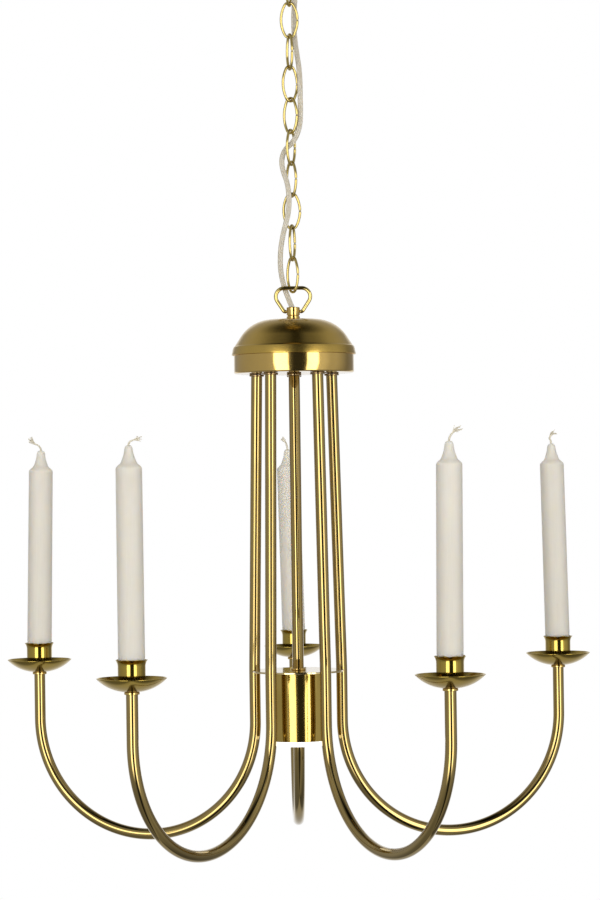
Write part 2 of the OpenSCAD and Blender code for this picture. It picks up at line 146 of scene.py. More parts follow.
def add_mesh(name, verts, faces, uvs, material, body, nodes=(), sharp=38):
    """A piece from its points and faces. Edges that turn more than sharp degrees stay crisp."""
    me = bpy.data.meshes.new(name)
    me.from_pydata([tuple(v) for v in verts], [], faces)
    layer = me.uv_layers.new(name="UVMap")
    layer.data.foreach_set("uv", [c for f in uvs for uv in f for c in uv])
    bm = bmesh.new()
    bm.from_mesh(me)
    bmesh.ops.remove_doubles(bm, verts=bm.verts, dist=1e-7)
    bmesh.ops.recalc_face_normals(bm, faces=bm.faces)
    for f in bm.faces:
        f.smooth = True
    for e in bm.edges:
        if len(e.link_faces) == 2 and e.calc_face_angle(0) > math.radians(sharp):
            e.smooth = False
    bm.to_mesh(me)
    bm.free()
    me.materials.append(material)
    ob = bpy.data.objects.new(name, me)
    scene.collection.objects.link(ob)
    if body:
        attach(ob, body)
    if nodes:
        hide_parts(*nodes)
    return ob


def quad_uv(u0, u1, j, m):
    """Corners of a face between two places along a piece, on strip j of the m round it."""
    return (u0, j / m), (u0, (j + 1) / m), (u1, (j + 1) / m), (u1, j / m)


def rounded(points, radius, n=4, closed=True):
    """A polygon with each corner rounded. radius is one number or one per corner."""
    p = [np.array(q, float) for q in points]
    m = len(p)
    radii = radius if hasattr(radius, "__len__") else [radius] * m
    out = []
    for i in range(m):
        if not closed and i in (0, m - 1):
            out.append(p[i])
            continue
        a, b, c = p[i - 1], p[i], p[(i + 1) % m]
        u, v = unit(a - b), unit(c - b)
        cosw = float(np.clip(np.dot(u, v), -1, 1))
        half = math.acos(cosw) / 2
        r = radii[i]
        if r <= 0 or half > math.radians(84):
            out.append(b)
            continue
        longest = 0.45 * min(np.linalg.norm(a - b), np.linalg.norm(c - b))
        reach = min(r / math.tan(half), longest)
        r = reach * math.tan(half)
        centre = b + unit(u + v) * r / math.sin(half)
        s, e = b + u * reach - centre, b + v * reach - centre
        sweep = math.pi - 2 * half
        turn = 1 if s[0] * e[1] - s[1] * e[0] > 0 else -1
        a0 = math.atan2(s[1], s[0])
        for k in range(n + 1):
            t = a0 + turn * sweep * k / n
            out.append(centre + r * np.array([math.cos(t), math.sin(t)]))
    return out


def arc(cx, cy, r, a0, a1, n):
    """Points on a round stretch, from a0 to a1 degrees."""
    turns = [math.radians(a0 + (a1 - a0) * i / n) for i in range(n + 1)]
    return [(cx + r * math.cos(t), cy + r * math.sin(t)) for t in turns]


def circle(r, n):
    return [(r * math.cos(TAU * k / n), r * math.sin(TAU * k / n)) for k in range(n)]


def sheet(outline, t, edge=0.42, n=4):
    """Closed section of a thin sheet whose outer face follows the outline, with rounded ends."""
    p = np.array(outline, float)
    inner = []
    for i in range(len(p)):
        d0 = unit(p[max(i, 1)] - p[max(i - 1, 0)])
        d1 = unit(p[min(i + 1, len(p) - 1)] - p[min(i, len(p) - 2)])
        n0, n1 = np.array([d0[1], -d0[0]]), np.array([d1[1], -d1[0]])
        nn = unit(n0 + n1)
        inner.append(p[i] + nn * t / max(np.dot(nn, n0), 0.3))
    loop = [tuple(q) for q in p] + [tuple(q) for q in inner[::-1]]
    radii = [0] * len(loop)
    m = len(p)
    for i in (0, m - 1, m, 2 * m - 1):
        radii[i] = edge * t
    return rounded(loop, radii, n)


def spun(name, section, material, body, nodes=(), at=(0, 0, 0), segs=128, tilt=None, wave=None,
         sharp=38):
    """Section (radius, height) in mm, spun round Z, placed at a point in metres.

    tilt turns it first, and wave moves each (radius, height) by the angle that it is at.
    """
    sec = np.array(section, float)
    m = len(sec)
    run = run_length(np.vstack([sec, sec[:1]])) / 100
    base = Matrix.Translation(Vector(at))
    if tilt is not None:
        base = base @ tilt.to_4x4()
    base = np.array(base)
    verts = []
    for j in range(segs):
        t = TAU * j / segs
        q = sec if wave is None else np.array([wave(r, z, t) for r, z in sec])
        local = np.stack([q[:, 0] * math.cos(t), q[:, 0] * math.sin(t), q[:, 1]], 1) * MM
        verts.append(local @ base[:3, :3].T + base[:3, 3])
    verts = np.vstack(verts)
    faces, uvs = [], []
    for j in range(segs):
        k = (j + 1) % segs
        for i in range(m):
            h = (i + 1) % m
            if sec[i][0] < 1e-6 and sec[h][0] < 1e-6:
                continue
            faces.append((j * m + i, k * m + i, k * m + h, j * m + h))
            uvs.append(quad_uv(run[i], run[i + 1], j, segs))
    return add_mesh(name, verts, faces, uvs, material, body, nodes, sharp)


def frames(path, first):
    """Two normals at each point of a path, carried along without twist."""
    p = np.array(path, float)
    n = len(p)
    u = np.array(first, float)
    out = []
    for i in range(n):
        t = unit(p[min(i + 1, n - 1)] - p[max(i - 1, 0)])
        u = unit(u - t * np.dot(u, t))
        out.append((u, np.cross(t, u)))
    return out


def tube_faces(rows, m, run, base=0):
    """Faces and UVs of a tube of rings, m points each, with run the length at each ring."""
    faces, uvs = [], []
    for i in range(rows - 1):
        a, b = base + i * m, base + (i + 1) * m
        for j in range(m):
            h = (j + 1) % m
            faces.append((a + j, a + h, b + h, b + j))
            uvs.append(quad_uv(run[i], run[i + 1], j, m))
    return faces, uvs


def end_face(first, m, uv):
    """The flat face over a tube's end, whose ring starts at point number first."""
    return tuple(range(first, first + m)), tuple(uv for _ in range(m))


def swept(name, path, section, material, body, nodes, first, radius=None):
    """Section points (mm) carried along a path (metres). radius scales the section at each point."""
    p = np.array(path, float)
    n, m = len(p), len(section)
    scale = radius or [1] * n
    verts = []
    for i, (u, w) in enumerate(frames(p, first)):
        verts += [p[i] + (u * a + w * b) * scale[i] * MM for a, b in section]
    run = run_length(p) / (100 * MM)
    faces, uvs = tube_faces(n, m, run)
    for end in (0, n - 1):
        face, uv = end_face(end * m, m, (run[end], 0.5))
        faces.append(face)
        uvs.append(uv)
    return add_mesh(name, verts, faces, uvs, material, body, nodes)


# ---------------------------------------------------------------- materials
def new_material(name):
    m = bpy.data.materials.new(name)
    m.use_nodes = True
    nt = m.node_tree
    return m, nt, nt.nodes["Principled BSDF"]


def link(nt, a, b):
    nt.links.new(a, b)


def noise_on(nt, coord, scale, detail=4, rough=0.55):
    mp = nt.nodes.new("ShaderNodeMapping")
    mp.inputs["Scale"].default_value = scale
    link(nt, coord, mp.inputs["Vector"])
    tx = nt.nodes.new("ShaderNodeTexNoise")
    tx.inputs["Scale"].default_value = 1.0
    tx.inputs["Detail"].default_value = detail
    tx.inputs["Roughness"].default_value = rough
    link(nt, mp.outputs["Vector"], tx.inputs["Vector"])
    return tx.outputs["Fac"]


def ramp(nt, fac, stops):
    """Colour from a value, by stops of (place, colour)."""
    cr = nt.nodes.new("ShaderNodeValToRGB")
    while len(cr.color_ramp.elements) > 1:
        cr.color_ramp.elements.remove(cr.color_ramp.elements[-1])
    for i, (pos, col) in enumerate(stops):
        e = cr.color_ramp.elements[0] if i == 0 else cr.color_ramp.elements.new(pos)
        e.position = pos
        e.color = (*col, 1)
    link(nt, fac, cr.inputs["Fac"])
    return cr.outputs["Color"]


def spread(nt, fac, lo, hi):
    """The middle half of a value's range, spread from lo to hi."""
    mr = nt.nodes.new("ShaderNodeMapRange")
    mr.inputs["From Min"].default_value = 0.25
    mr.inputs["From Max"].default_value = 0.75
    mr.inputs["To Min"].default_value = lo
    mr.inputs["To Max"].default_value = hi
    link(nt, fac, mr.inputs["Value"])
    return mr.outputs["Result"]


def bump(nt, height, strength, distance):
    b = nt.nodes.new("ShaderNodeBump")
    b.inputs["Strength"].default_value = strength
    b.inputs["Distance"].default_value = distance
    link(nt, height, b.inputs["Height"])
    return b.outputs["Normal"]


def brass(name, dark, light, rough, grain, grain_strength, coat=0.6, coat_ior=1.9):
    """Lacquered satin brass: the grain runs round or along, through the piece's UV layout."""
    m, nt, bsdf = new_material(name)
    tc = nt.nodes.new("ShaderNodeTexCoord")
    cloud = noise_on(nt, tc.outputs["Object"], (38, 38, 38), 5)
    fine = noise_on(nt, tc.outputs["UV"], (grain[0], grain[1], 1), 3, 0.7)
    link(nt, ramp(nt, cloud, [(0.25, dark), (0.75, light)]), bsdf.inputs["Base Color"])
    bsdf.inputs["Metallic"].default_value = 1
    link(nt, spread(nt, fine, rough * 0.8, rough * 1.25), bsdf.inputs["Roughness"])
    link(nt, bump(nt, fine, grain_strength, 0.00004), bsdf.inputs["Normal"])
    bsdf.inputs["Coat Weight"].default_value = coat
    bsdf.inputs["Coat Roughness"].default_value = 0.5 * rough
    bsdf.inputs["Coat IOR"].default_value = coat_ior
    return m


# each brass part has its own polish and its own depth of lacquer; the tubes' brass also has a darker
# base colour, which is painted shade for the dark surroundings and other tubes that they mirror
BRASS_DARK = (0.70, 0.455, 0.098)
BRASS_LIGHT = (0.79, 0.53, 0.125)
satin_round = brass("brass_satin_spun", (0.66, 0.435, 0.085), (0.75, 0.51, 0.11), 0.22,
                    grain=(240, 2.5), grain_strength=0.1, coat=0.4, coat_ior=1.6)
satin_tight = brass("brass_satin_fine", BRASS_DARK, BRASS_LIGHT, 0.1,
                    grain=(300, 2.5), grain_strength=0.05)
satin_shell = brass("brass_satin_shell", (0.54, 0.375, 0.07), (0.62, 0.435, 0.09), 0.1,
                    grain=(300, 2.5), grain_strength=0.05, coat=0.5, coat_ior=1.7)
satin_pan = brass("brass_satin_pan", (0.50, 0.345, 0.052), (0.60, 0.42, 0.07), 0.13,
                  grain=(240, 2.5), grain_strength=0.06, coat=0.35, coat_ior=1.6)
satin_cup = brass("brass_satin_cup", (0.47, 0.33, 0.05), (0.56, 0.40, 0.066), 0.09,
                  grain=(300, 2.5), grain_strength=0.04, coat=0.4, coat_ior=1.6)
# the drawn tubes' base colour is set darker than the rest of the brass: painted shade, for the dark
# surroundings and the other tubes that they mirror
tube_brass_painted_shade = brass("brass_tube_painted_shade", (0.40, 0.27, 0.045), (0.47, 0.325, 0.065), 0.06,
                   grain=(0.7, 26), grain_strength=0.002, coat=1.0, coat_ior=1.75)
satin_wire = brass("brass_wire", (0.66, 0.50, 0.13), (0.82, 0.64, 0.20), 0.09,
                   grain=(14, 10), grain_strength=0.02, coat=0.6, coat_ior=1.8)
turned = brass("brass_turned", BRASS_DARK, BRASS_LIGHT, 0.14, grain=(420, 2), grain_strength=0.2)
polished = brass("brass_polished", (0.78, 0.60, 0.24), (0.84, 0.66, 0.30), 0.1,
                 grain=(150, 3), grain_strength=0.06)
dark_brass = brass("brass_dark_ring", (0.30, 0.19, 0.07), (0.42, 0.28, 0.10), 0.25,
                   grain=(300, 3), grain_strength=0.2)


def dull_metal(name, dark, light, rough):
    m, nt, bsdf = new_material(name)
    tc = nt.nodes.new("ShaderNodeTexCoord")
    cloud = noise_on(nt, tc.outputs["Object"], (420, 420, 420), 4)
    link(nt, ramp(nt, cloud, [(0.3, dark), (0.7, light)]), bsdf.inputs["Base Color"])
    bsdf.inputs["Metallic"].default_value = 1
    link(nt, spread(nt, cloud, rough * 0.8, rough * 1.3), bsdf.inputs["Roughness"])
    link(nt, bump(nt, cloud, 0.15, 0.00005), bsdf.inputs["Normal"])
    return m


zinc = dull_metal("zinc_plated_steel", (0.50, 0.50, 0.48), (0.68, 0.68, 0.66), 0.32)


def plastic(name, dark, light, rough, scale=300, strength=0.1):
    m, nt, bsdf = new_material(name)
    tc = nt.nodes.new("ShaderNodeTexCoord")
    cloud = noise_on(nt, tc.outputs["Object"], (scale,) * 3, 5)
    link(nt, ramp(nt, cloud, [(0.3, dark), (0.7, light)]), bsdf.inputs["Base Color"])
    link(nt, spread(nt, cloud, rough * 0.85, rough * 1.2), bsdf.inputs["Roughness"])
    link(nt, bump(nt, cloud, strength, 0.0001), bsdf.inputs["Normal"])
    return m


terminal_mat = plastic("terminal_plastic", (0.72, 0.69, 0.60), (0.78, 0.75, 0.67), 0.45)
lead_mat = plastic("lead_plastic", (0.80, 0.80, 0.77), (0.86, 0.86, 0.84), 0.35)
ceramic_mat = plastic("lampholder_ceramic", (0.82, 0.80, 0.74), (0.88, 0.87, 0.82), 0.22, 120, 0.06)


def wax_material():
    m, nt, bsdf = new_material("candle_wax")
    tc = nt.nodes.new("ShaderNodeTexCoord")
    cloud = noise_on(nt, tc.outputs["Object"], (26, 26, 9), 5, 0.6)
    streak = noise_on(nt, tc.outputs["UV"], (3, 46, 1), 4, 0.6)
    mix = nt.nodes.new("ShaderNodeMix")
    mix.data_type = "FLOAT"
    mix.inputs["Factor"].default_value = 0.45
    link(nt, cloud, mix.inputs[2])
    link(nt, streak, mix.inputs[3])
    link(nt, ramp(nt, mix.outputs[0], [(0.25, (0.68, 0.64, 0.56)), (0.75, (0.76, 0.725, 0.65))]),
         bsdf.inputs["Base Color"])
    link(nt, spread(nt, streak, 0.4, 0.58), bsdf.inputs["Roughness"])
    link(nt, bump(nt, mix.outputs[0], 0.25, 0.0004), bsdf.inputs["Normal"])
    bsdf.inputs["Subsurface Weight"].default_value = 0.8
    bsdf.inputs["Subsurface Radius"].default_value = (0.012, 0.010, 0.007)
    bsdf.inputs["Subsurface Scale"].default_value = 1.0
    bsdf.inputs["Coat Weight"].default_value = 0.05
    return m


wax = wax_material()


def wick_material():
    m, nt, bsdf = new_material("cotton_wick")
    tc = nt.nodes.new("ShaderNodeTexCoord")
    twist = noise_on(nt, tc.outputs["UV"], (90, 7, 1), 4, 0.7)
    link(nt, ramp(nt, twist, [(0.3, (0.60, 0.53, 0.38)), (0.7, (0.84, 0.79, 0.66))]),
         bsdf.inputs["Base Color"])
    link(nt, bump(nt, twist, 0.6, 0.0002), bsdf.inputs["Normal"])
    bsdf.inputs["Roughness"].default_value = 0.9
    bsdf.inputs["Sheen Weight"].default_value = 0.3
    return m


wick_mat = wick_material()


def cord_material():
    """Clear flat twin lead: two stranded conductors show as stripes through the sheath."""
    m, nt, bsdf = new_material("clear_twin_cord")
    tc = nt.nodes.new("ShaderNodeTexCoord")
    sep = nt.nodes.new("ShaderNodeSeparateXYZ")
    link(nt, tc.outputs["UV"], sep.inputs[0])
    stripe = nt.nodes.new("ShaderNodeMath")
    stripe.operation = "MULTIPLY"
    stripe.inputs[1].default_value = 4 * math.pi
    link(nt, sep.outputs["Y"], stripe.inputs[0])
    wave = nt.nodes.new("ShaderNodeMath")
    wave.operation = "COSINE"
    link(nt, stripe.outputs[0], wave.inputs[0])
    strands = noise_on(nt, tc.outputs["UV"], (60, 18, 1), 3, 0.7)
    add = nt.nodes.new("ShaderNodeMath")
    add.operation = "MULTIPLY_ADD"
    add.inputs[1].default_value = 0.5
    link(nt, strands, add.inputs[0])
    link(nt, spread(nt, wave.outputs[0], 0.0, 0.55), add.inputs[2])
    shades = [(0.15, (0.70, 0.65, 0.54)), (0.4, (0.40, 0.34, 0.24)), (0.55, (0.60, 0.54, 0.42)),
              (0.8, (0.80, 0.76, 0.66))]
    link(nt, ramp(nt, add.outputs[0], shades), bsdf.inputs["Base Color"])
    link(nt, bump(nt, strands, 0.12, 0.0001), bsdf.inputs["Normal"])
    bsdf.inputs["Roughness"].default_value = 0.28
    bsdf.inputs["Subsurface Weight"].default_value = 0.4
    bsdf.inputs["Subsurface Radius"].default_value = (0.002, 0.0018, 0.0014)
    bsdf.inputs["Subsurface Scale"].default_value = 1.0
    bsdf.inputs["Coat Weight"].default_value = 0.4
    bsdf.inputs["Coat Roughness"].default_value = 0.12
    return m


cord_mat = cord_material()


def opal_material():
    m, nt, bsdf = new_material("opal_glass_lit")
    tc = nt.nodes.new("ShaderNodeTexCoord")
    cloud = noise_on(nt, tc.outputs["Object"], (60, 60, 60), 4)
    link(nt, ramp(nt, cloud, [(0.3, (0.92, 0.92, 0.90)), (0.7, (0.97, 0.97, 0.96))]),
         bsdf.inputs["Base Color"])
    link(nt, ramp(nt, cloud, [(0.3, (1.0, 0.985, 0.95)), (0.7, (1.0, 0.995, 0.98))]),
         bsdf.inputs["Emission Color"])
    link(nt, spread(nt, cloud, 0.22, 0.32), bsdf.inputs["Roughness"])
    bsdf.inputs["Emission Strength"].default_value = 1.1
    return m


opal = opal_material()

# ---------------------------------------------------------------- supply cord, one stretch per joint
CORD = [
    (0, 0, -20), (0, 0, -32), (0.6, 0.8, -42.5), (2.2, 3, -51), (3.6, 4.6, -60), (4.4, 5.4, -70),
    (4.8, 5.6, -79), (5.2, 5.2, -88), (5.8, 4.8, -97), (5.5, 4.5, -107), (4.3, 4.8, -119),
    (4, 5, -131), (4.8, 4.8, -144), (6.4, 4, -157), (8.1, 2.1, -170), (8.8, 0, -184),
    (8.8, -1, -197), (8.8, -1.4, -209), (8.1, -1.2, -219.5), (5.1, -0.6, -229.5), (0.6, 0, -236.2),
    (-4.4, -0.2, -241), (-7.6, -0.6, -247.6), (-8.2, -1.2, -254.8), (-6.6, -2.2, -262.5),
    (-4, -4, -271), (-2.6, -5, -280),
    (-2.4, -5.2, -290), (-3.4, -5, -299), (-5.4, -4.6, -307), (-8, -3.4, -317),
    (-10, -1.6, -328), (-10.8, 0.6, -339), (-10.4, 3, -349), (-8.8, 4.6, -358),
    (-6.6, 4.8, -366), (-3.4, 3, -375), (-0.4, 0.4, -383.5), (0, 0, -393), (0, 0, -406),
    (0, 0, -420),
]
# half width and half thickness of the cord
CORD_W, CORD_T = 2.3, 1.3
# heights between which each stretch runs
SPLITS = [-47, -76, -104, -132, -160, -188, -216, -243, -271, -299, -327, -355, -381]


def cord_section():
    """Flat twin section: two round lobes joined by a thinner web."""
    out = []
    for k in range(28):
        t = TAU * k / 28
        x = CORD_W * math.cos(t)
        y = CORD_T * math.sin(t) * (0.80 + 0.26 * abs(math.sin(2 * t)) ** 1.2)
        out.append((x, y))
    return out


def make_cord():
    """The whole route, cut into a stretch for each joint."""
    route = smooth_path(np.array(CORD) * MM, 0.0012)
    last = len(route) - 1
    section = cord_section()
    m = len(section)
    rings = []
    for i, p in enumerate(route):
        t = unit(route[min(i + 1, last)] - route[max(i - 1, 0)])
        w = unit(np.cross([0, 1, 0], t))
        n = np.cross(t, w)
        rings.append([p + (w * a + n * b) * MM for a, b in section])
    cuts = [0] + [int(np.argmin(abs(route[:, 2] - z * MM))) for z in SPLITS] + [last]
    for k in range(len(cuts) - 1):
        i0, i1 = cuts[k], cuts[k + 1]
        part = route[i0:i1 + 1]
        rows = len(part)
        verts = [v for ring in rings[i0:i1 + 1] for v in ring]
        faces, uvs = tube_faces(rows, m, [(i0 + i) * 0.012 for i in range(rows)])
        if k == 0:
            face, uv = end_face(0, m, (0, 0.1))
            faces.append(face)
            uvs.append(uv)
        if i1 == last:
            face, uv = end_face((rows - 1) * m, m, (5, 0.1))
            faces.append(face)
            uvs.append(uv)
        ob = add_mesh(f"supply_cord_{k + 1:02d}", verts, faces, uvs, cord_mat, None, (), 60)
        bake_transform(ob)
        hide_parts("supply_cord")


make_cord()


# ---------------------------------------------------------------- chain
def link_line(n_end=26, n_side=22):
    """Oval of four arcs in the link's own plane, open at the joint in the middle of one side."""
    r2 = ((LINK_A - LINK_END) ** 2 + LINK_B ** 2 - LINK_END ** 2) / (2 * (LINK_B - LINK_END))
    s = math.degrees(math.atan2(LINK_A - LINK_END, r2 - LINK_B))
    pts = arc(LINK_B - r2, 0, r2, 0.22, s, n_side)
    pts += arc(0, LINK_A - LINK_END, LINK_END, s, 180 - s, n_end)[1:]
    pts += arc(r2 - LINK_B, 0, r2, 180 - s, 180 + s, 2 * n_side)[1:]
    pts += arc(0, LINK_END - LINK_A, LINK_END, 180 + s, 360 - s, n_end)[1:]
    pts += arc(LINK_B - r2, 0, r2, -s, -0.22, n_side)[1:]
    return pts


def make_link(i):
    a = math.radians(LINK_YAW[i])
    line = [(x * MM * math.cos(a), x * MM * math.sin(a), LINK_Z[i] + y * MM) for x, y in link_line()]
    # the wire's two cut ends are rounded off
    ends = [0.72, 0.93]
    radius = ends + [1.0] * (len(line) - 4) + ends[::-1]
    swept(f"link_{i + 1:02d}_wire", line, circle(LINK_WIRE / 2, 18), satin_wire, f"link_{i + 1:02d}",
          [f"chain_link_{i + 1:02d}"], first=(-math.sin(a), math.cos(a), 0), radius=radius)


for i in range(LINKS):
    make_link(i)


# ---------------------------------------------------------------- bails and collars
def bail_line():
    """Bar, two round corners, leaning legs, small bends at the feet, and pins that turn inwards."""
    half, corner, tilt, foot = 7.7, 7.5, 33.0, 2.6
    t = math.radians(tilt)
    leg_top = np.array([half + corner * math.cos(t), BAIL_RISE - corner - corner * math.sin(t)])
    leg = (leg_top[1] - foot * (1 - math.sin(t))) / math.cos(t)
    leg_end = leg_top - np.array([math.sin(t), math.cos(t)]) * leg
    right = [(x, BAIL_RISE) for x in np.linspace(0, half, 8)]
    right += arc(half, BAIL_RISE - corner, corner, 90, -tilt, 26)[1:]
    right += [tuple(leg_top + (leg_end - leg_top) * k / 12) for k in range(1, 13)]
    right += arc(leg_end[0] - foot * math.cos(t), foot, foot, -tilt, -90, 10)[1:]
    right += [(x, 0) for x in (6.2, 6.0, 5.8, 5.2, 4.4, 3.9)]
    left = [(-x, y) for x, y in right[:0:-1]]
    return left + right


def bail_radius(x, y):
    """The wire's own radius, turned down to a pin where it enters the collar."""
    if y > 0.01 or abs(x) > 6.25:
        return BAIL_WIRE_R
    return 1.1 if abs(x) < 6.05 else 1.45


def bail(node, pin_z, up):
    """up is 1 where the bar is above its pins, and -1 where it is below them."""
    line = bail_line()
    path = [(x * MM, 0, pin_z + up * y * MM) for x, y in line]
    swept(f"{node}_wire", path, circle(1, 24), satin_wire, node, [node], first=(0, 1, 0),
          radius=[bail_radius(x, y) for x, y in line])


bail("ceiling_bail", PIN_1_Z, -1)
bail("cap_bail", PIN_2_Z, 1)


def collar_section():
    r, h = 5.85, 10.8
    pts = [(4, 0), (r + 0.4, 0), (r + 0.4, 1.1), (r, 1.4), (r, 2.6), (r - 0.8, 2.9), (r - 0.8, 3.5),
           (r, 3.8), (r, h - 0.5), (r - 0.4, h), (r - 1.3, h), (2.85, h - 2.6), (2.75, 3.2), (4, 3.2)]
    return rounded(pts, 0.25, 3)


FLIP = Matrix.Rotation(math.pi, 3, "X")
spun("cap_collar_turned", collar_section(), turned, "chandelier", ["cap_collar"],
     (0, 0, low("cap_collar")), 72)
spun("ceiling_collar_turned", collar_section(), turned, "ceiling", ["ceiling_collar"],
     (0, 0, high("ceiling_collar")), 72, FLIP)


# ---------------------------------------------------------------- cap
# heights above the band's foot
DOME_TOP, DOME_LIP = 47.5, 16.4
BAND_R = 53.0
SHEET_T, BAND_T = 0.8, 1.0


def dome_section():
    top, shoulder = DOME_TOP, 32.4
    pts = [(4.25, top)] + arc(19.5, top - shoulder, shoulder, 90, 33.5, 40)
    tail = [pts[-1], (52.0, top - 23.0), (53.2, top - 24.0), (53.9, top - 26.0),
            (54.4, DOME_LIP + 2.4), (54.9, DOME_LIP + 0.5), (54.95, DOME_LIP)]
    tail = [tuple(q) for q in rounded(tail, 1.2, 4, closed=False)]
    return sheet(pts + tail[1:], SHEET_T)


def band_section():
    edge = 1.5
    pts = [(BAND_R, 22), (BAND_R, 9), (BAND_R, edge)]
    pts += arc(BAND_R - edge, edge, edge, 0, -90, 8)[1:] + [(30, 0), (4.2, 0)]
    return sheet(pts, BAND_T)


spun("cap_dome_spun", dome_section(), satin_round, "chandelier", ["cap_dome"], (0, 0, CAP_Z), 192)
spun("cap_band_spun", band_section(), satin_tight, "chandelier", ["cap_band"], (0, 0, CAP_Z), 192)
spun("ceiling_cup_spun", dome_section(), satin_round, "ceiling", ["ceiling_cup"],
     (0, 0, low("ceiling_cup") + DOME_TOP * MM), 192, FLIP)

# ---------------------------------------------------------------- arms, rings and plugs
# each arm's turn about its own tube, the tubes' ring and lean, and heights from the band's foot
ARM_TURN = [-2, 1, 1, 3, -7]
TUBE_OUTER_R, TUBE_R, LEAN, BEND_R = 5.0, 40.6, 1.25, 102.5
TUBE_TOP_Z, DISC_Z, BEND_Z = -2.05, -262.0, -307.5
PAN_Z = [low(f"drip_pan_{k}") for k in range(1, ARMS + 1)]
TUBE_RING_T, PAN_RING_T, RING_R = 2.0, 2.0, 6.5
UP = np.array([0, 0, 1.0])


def arm_angle(k):
    return 18 + 72 * (k - 1)


def direction(degrees):
    t = math.radians(degrees)
    return np.array([math.cos(t), math.sin(t), 0])


def arm_frame(k):
    """Directions to arm k's tube from the middle, and from its tube to its pan."""
    return direction(arm_angle(k)), direction(arm_angle(k) + ARM_TURN[k - 1])


def arm_line(k):
    """From the cap's floor down through the disc, round the half circle and up to the pan."""
    out, way = arm_frame(k)
    lean = math.radians(LEAN)
    at_disc = out * TUBE_R + UP * DISC_Z
    leaning = UP * math.cos(lean) - out * math.sin(lean)
    length = (TUBE_TOP_Z - DISC_Z) / math.cos(lean)
    pts = [at_disc + leaning * length * s for s in np.linspace(1, 0.04, 26)]
    pts.append(at_disc - out * 0.02)
    pts += [out * TUBE_R + UP * z for z in np.linspace(DISC_Z - 9, BEND_Z + 3, 6)]
    centre = out * TUBE_R + way * BEND_R + UP * BEND_Z
    for a in np.radians(np.linspace(180, 360, 97)):
        pts.append(centre + (way * math.cos(a) + UP * math.sin(a)) * BEND_R)
    end = from_cap(PAN_Z[k - 1]) - PAN_RING_T
    pts += [centre + way * BEND_R + UP * (z - BEND_Z) for z in np.linspace(BEND_Z + 4, end, 8)]
    return [tuple(q * MM + UP * CAP_Z) for q in pts]


def ring_section(r, h, bore, edge=0.45):
    return rounded([(bore, 0), (r, 0), (r, h), (bore, h)], [0.1, edge, edge, 0.1], 4)


def make_arm(k):
    out, way = arm_frame(k)
    swept(f"arm_{k}_tube", arm_line(k), circle(TUBE_OUTER_R, 40), tube_brass_painted_shade, "chandelier",
          [f"arm_{k}"], first=(-way[1], way[0], 0))
    lean = Matrix.Rotation(math.radians(LEAN), 3, Vector((out[1], -out[0], 0)))
    # the ring sits just under the cap's floor, tilted with its tube
    top = out * (TUBE_R + DISC_Z * math.tan(math.radians(LEAN))) * MM + UP * CAP_Z
    at = Vector(top.tolist()) + lean @ Vector((0, 0, -2.12 * MM))
    spun(f"tube_ring_{k}", ring_section(RING_R, TUBE_RING_T - 0.05, 4.2), dark_brass, "chandelier",
         ["tube_rings"], at, 64, lean)
    pan = mid(f"drip_pan_{k}")
    spun(f"pan_ring_{k}", ring_section(RING_R - 0.1, PAN_RING_T, 2.6), turned, "chandelier",
         ["pan_rings"], (pan.x, pan.y, PAN_Z[k - 1] - PAN_RING_T * MM), 64)


for k in range(1, ARMS + 1):
    make_arm(k)
spun("tube_ring_stem", ring_section(RING_R, TUBE_RING_T, 4.1), dark_brass, "chandelier",
     ["tube_rings"], (0, 0, CAP_Z - TUBE_RING_T * MM), 64)


# ---------------------------------------------------------------- stem, disc and downlight
def stem_section():
    """The tube, with a tighter bore below its upper end."""
    top, foot = from_cap(high("centre_stem")), from_cap(low("centre_stem"))
    wide, tight, step = 4.05, 3.6, -11
    return rounded([(tight, foot), (TUBE_OUTER_R, foot), (TUBE_OUTER_R, top), (wide, top),
                    (wide, step), (tight, step)], 0.2, 3)


spun("centre_stem_tube", stem_section(), tube_brass_painted_shade, "chandelier", ["centre_stem"], (0, 0, CAP_Z), 64)
spun("stem_foot_ring_turned", ring_section(RING_R, 1.8, 5.05), turned, "chandelier",
     ["stem_foot_ring"], (0, 0, low("stem_foot_ring")), 64)


def disc_reach(t):
    """Radius of the disc at angle t: its rim, or the near side of the tube that passes through it."""
    reach = 40.0
    for k in range(1, ARMS + 1):
        d = (t - math.radians(arm_angle(k)) + math.pi) % TAU - math.pi
        q = 5.15 ** 2 - (TUBE_R * math.sin(d)) ** 2
        if abs(d) < 0.2 and q > 0:
            reach = min(reach, TUBE_R * math.cos(d) - math.sqrt(q))
    return reach


def spacer_disc():
    foot, top = from_cap(low("spacer_disc")), from_cap(high("spacer_disc"))
    bore, edge, n, rows = 5.1, 0.2, 720, 6
    verts, faces, uvs = [], [], []
    for j in range(n):
        t = TAU * j / n
        r = disc_reach(t)
        loop = [(bore, foot), (r - edge, foot), (r, foot + edge),
                (r, top - edge), (r - edge, top), (bore, top)]
        verts += [(x * MM * math.cos(t), x * MM * math.sin(t), CAP_Z + z * MM) for x, z in loop]
    for j in range(n):
        k = (j + 1) % n
        for i in range(rows):
            h = (i + 1) % rows
            faces.append((j * rows + i, k * rows + i, k * rows + h, j * rows + h))
            uvs.append(quad_uv(i / rows, (i + 1) / rows, j, n))
    add_mesh("spacer_disc_plate", verts, faces, uvs, polished, "chandelier", ["spacer_disc"])


def housing_section():
    top, foot = from_cap(high("downlight_housing")), from_cap(low("downlight_housing"))
    r, edge = 27.5, 1.0
    pts = [(5.1, top)] + arc(r - edge, top - edge, edge, 90, 0, 6) + [(r, top - 30), (r, foot)]
    return sheet(pts, 1.0)


def diffuser_section():
    top, foot = from_cap(high("diffuser")), from_cap(low("diffuser"))
    r, corner = 26.2, 4.0
    pts = [(r, top), (r, foot + corner)] + arc(r - corner, foot + corner, corner, 0, -90, 12)[1:]
    return sheet(pts + [(0, foot)], 1.6)


